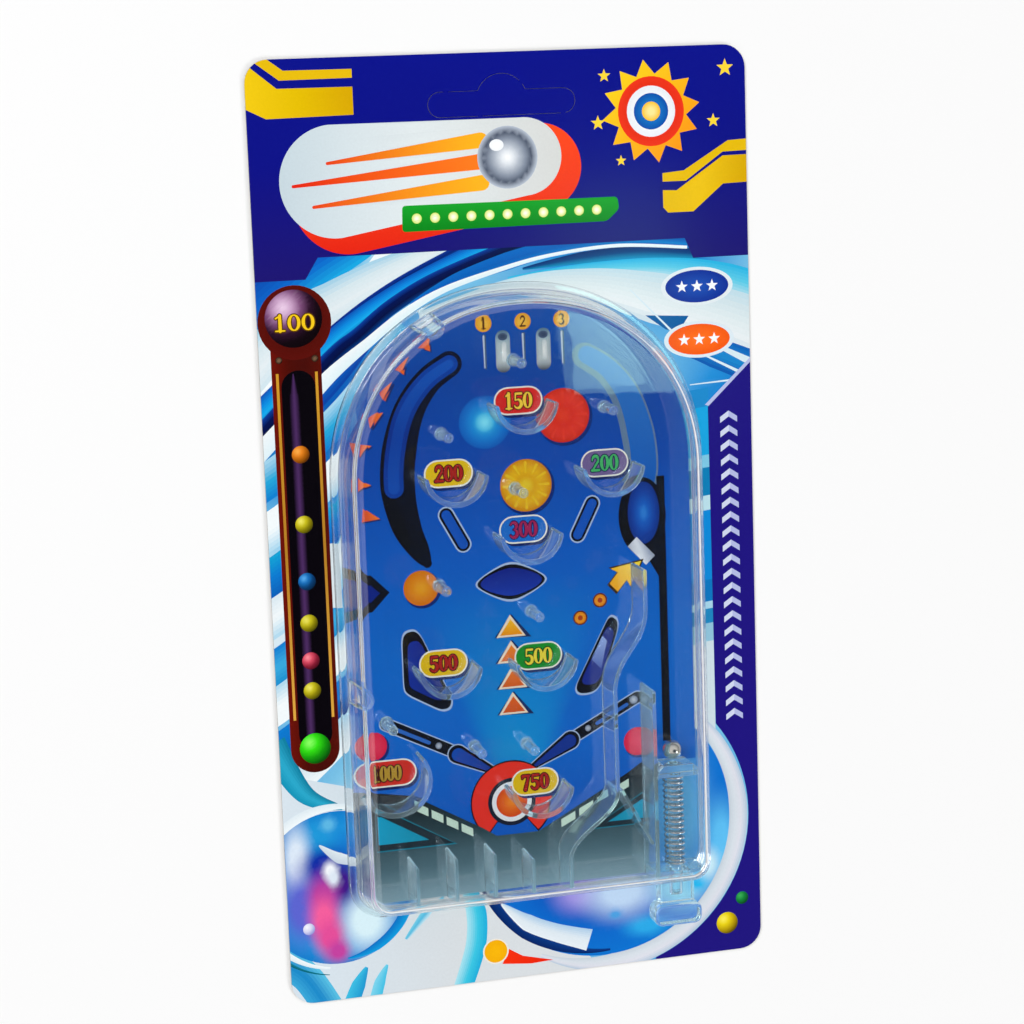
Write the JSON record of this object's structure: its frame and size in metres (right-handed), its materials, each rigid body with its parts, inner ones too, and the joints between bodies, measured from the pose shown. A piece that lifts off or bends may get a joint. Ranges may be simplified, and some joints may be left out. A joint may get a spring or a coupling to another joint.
{
  "type": "handheld pinball game",
  "caption": "Flat clear-cased handheld pinball game on a printed backing card, with pegs, score cups, bins, a spring plunger and a loose steel ball.",
  "frame": {"origin": "middle of the card's underside, the game lying on its back", "axes": "+Z out of the playfield, +Y to the hang slot at the card's top, +X to the plunger's side"},
  "size_m": [0.132, 0.247, 0.0156],
  "materials": {
    "clear_plastic": "clear moulded polystyrene",
    "printed_card": "gloss print on board",
    "printed_insert": "gloss print on paper",
    "spring_steel": "drawn wire",
    "ball_steel": "polished"
  },
  "bodies": {
    "case": {"backing_card": "printed_card", "playfield_insert": "printed_insert", "base_tray": "clear_plastic", "front_cover": "clear_plastic", "peg_1": "clear_plastic", "peg_2": "clear_plastic", "peg_3": "clear_plastic", "peg_4": "clear_plastic", "peg_5": "clear_plastic", "peg_6": "clear_plastic", "peg_7": "clear_plastic", "peg_8": "clear_plastic", "peg_9": "clear_plastic", "score_cup_150": "clear_plastic", "score_cup_200_left": "clear_plastic", "score_cup_200_right": "clear_plastic", "score_cup_300": "clear_plastic", "score_cup_500_left": "clear_plastic", "score_cup_500_right": "clear_plastic", "score_cup_750": "clear_plastic", "score_cup_1000": "clear_plastic", "lane_rail": "clear_plastic", "return_rail": "clear_plastic", "shooter_lane_wall": "clear_plastic", "bin_divider_1": "clear_plastic", "bin_divider_2": "clear_plastic", "bin_divider_3": "clear_plastic", "bin_divider_4": "clear_plastic", "plunger_gate": "clear_plastic", "plunger_spring": "spring_steel"},
    "plunger": {"plunger_rod": "clear_plastic", "plunger_knob": "clear_plastic"},
    "ball": {"steel_ball": "ball_steel"}
  },
  "joints": [
    {"name": "plunger_slide", "type": "slide", "parent": "case", "child": "plunger", "axis": [0, -1, 0], "range_m": [0, 0.011], "stiffness_N_per_m": 150, "springref_m": -0.006, "deforming": ["plunger_spring"]},
    {"name": "ball_slide", "type": "slide", "parent": "case", "child": "ball", "axis": [0, 1, 0], "range_m": [0, 0.092]}
  ]
}
